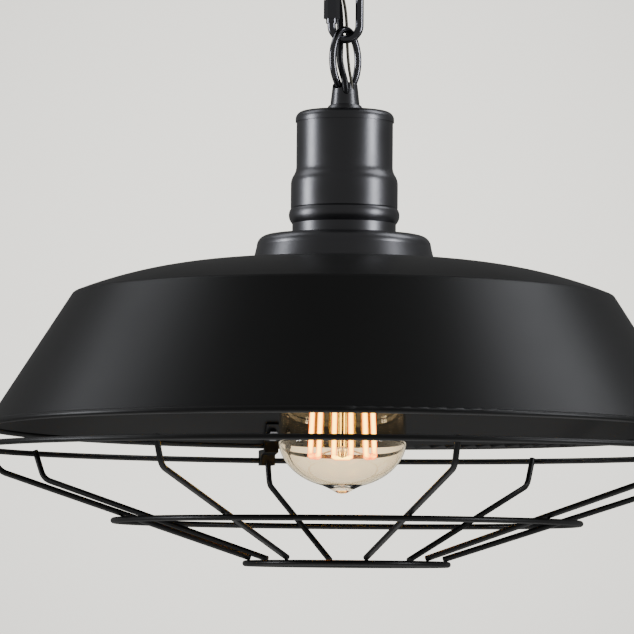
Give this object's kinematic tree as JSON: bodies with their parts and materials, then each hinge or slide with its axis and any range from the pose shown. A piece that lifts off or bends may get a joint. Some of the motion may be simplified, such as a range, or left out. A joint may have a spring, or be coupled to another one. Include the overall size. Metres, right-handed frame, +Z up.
{
  "type": "pendant ceiling light",
  "caption": "Pendant ceiling light: a flared black steel shade with a wire guard under a bare bulb, hung by a screw link and an open ring with the cord woven through.",
  "frame": {"origin": "middle of the ceiling bracket's upper face, on the ceiling", "axes": "+Z up into the ceiling, -Y the front, +X to the right seen from the front; the lamp hangs along -Z"},
  "size_m": [0.3802, 0.378, 0.3429],
  "materials": {
    "black_paint": "satin",
    "gunmetal": "satin, darkened",
    "black_nickel": "polished, darkened",
    "black_screws": "satin",
    "zinc_steel": "satin",
    "black_plastic": "matte",
    "white_plastic": "gloss",
    "brass": "satin",
    "cap_brass": "satin",
    "porcelain": "gloss",
    "cord_sheath": "satin",
    "earth_sheath": "satin",
    "amber_glass": "polished, faintly amber",
    "stem_glass": "polished",
    "black_glass": "polished",
    "filament": "glowing",
    "support_wire": "dull"
  },
  "bodies": {
    "ceiling": {"ceiling_bracket": "zinc_steel", "canopy": "black_paint", "eye_bolt": "black_nickel", "eye_washer": "zinc_steel", "eye_nuts": "zinc_steel", "cord_grip": "black_plastic", "cord_grip_nut": "black_plastic", "terminal_block": "white_plastic", "terminal_screws": "brass", "supply_cord_upper": "cord_sheath", "earth_wire_upper": "earth_sheath"},
    "screw_link": {"screw_link": "black_nickel", "supply_cord_middle": "cord_sheath", "earth_wire_middle": "earth_sheath"},
    "screw_link_nut": {"screw_link_nut": "black_nickel"},
    "hanging_ring": {"hanging_ring": "black_nickel", "supply_cord_lower": "cord_sheath", "earth_wire_lower": "earth_sheath"},
    "lamp": {"hanger": "gunmetal", "nipple": "zinc_steel", "nipple_nut": "zinc_steel", "husk_lid": "gunmetal", "husk": "gunmetal", "collar": "gunmetal", "shade": "black_paint", "holder_body": "porcelain", "holder_cap": "porcelain", "holder_terminals": "brass", "thread_shell": "brass", "centre_contact": "brass", "shade_ring_nut": "black_plastic", "guard_top_ring": "black_paint", "guard_middle_ring": "black_paint", "guard_bottom_ring": "black_paint", "guard_strut_1": "black_paint", "guard_strut_2": "black_paint", "guard_strut_3": "black_paint", "guard_strut_4": "black_paint", "guard_strut_5": "black_paint", "guard_strut_6": "black_paint", "guard_strut_7": "black_paint", "guard_strut_8": "black_paint", "guard_lug_right": "black_paint", "guard_lug_back": "black_paint", "guard_lug_left": "black_paint", "lug_screws": "black_screws", "lug_nuts": "zinc_steel"},
    "bulb": {"bulb_glass": "amber_glass", "bulb_cap": "cap_brass", "bulb_insulator": "black_glass", "bulb_contact": "brass", "bulb_stem": "stem_glass", "filament": "filament", "filament_supports": "support_wire"}
  },
  "joints": [
    {"name": "link_swing", "type": "hinge", "parent": "ceiling", "child": "screw_link", "pos_m": [0, 0, -0.04885], "axis": [0, 1, 0], "range_deg": [-15, 15], "deforming": ["supply_cord_upper", "earth_wire_upper"]},
    {"name": "link_nut_slide", "type": "slide", "parent": "screw_link", "child": "screw_link_nut", "axis": [0, 0, 1], "range_m": [0, 0.0065]},
    {"name": "ring_swing", "type": "hinge", "parent": "screw_link", "child": "hanging_ring", "pos_m": [0, 0, -0.0774], "axis": [1, 0, 0], "range_deg": [-10, 10], "deforming": ["supply_cord_middle", "earth_wire_middle"]},
    {"name": "lamp_swing", "type": "hinge", "parent": "hanging_ring", "child": "lamp", "pos_m": [0, 0, -0.1031], "axis": [0.6428, 0.766, 0], "range_deg": [-15, 15], "deforming": ["supply_cord_lower", "earth_wire_lower"]},
    {"name": "bulb_removal", "type": "slide", "parent": "lamp", "child": "bulb", "axis": [0, 0, -1], "range_m": [0, 0.036]}
  ]
}
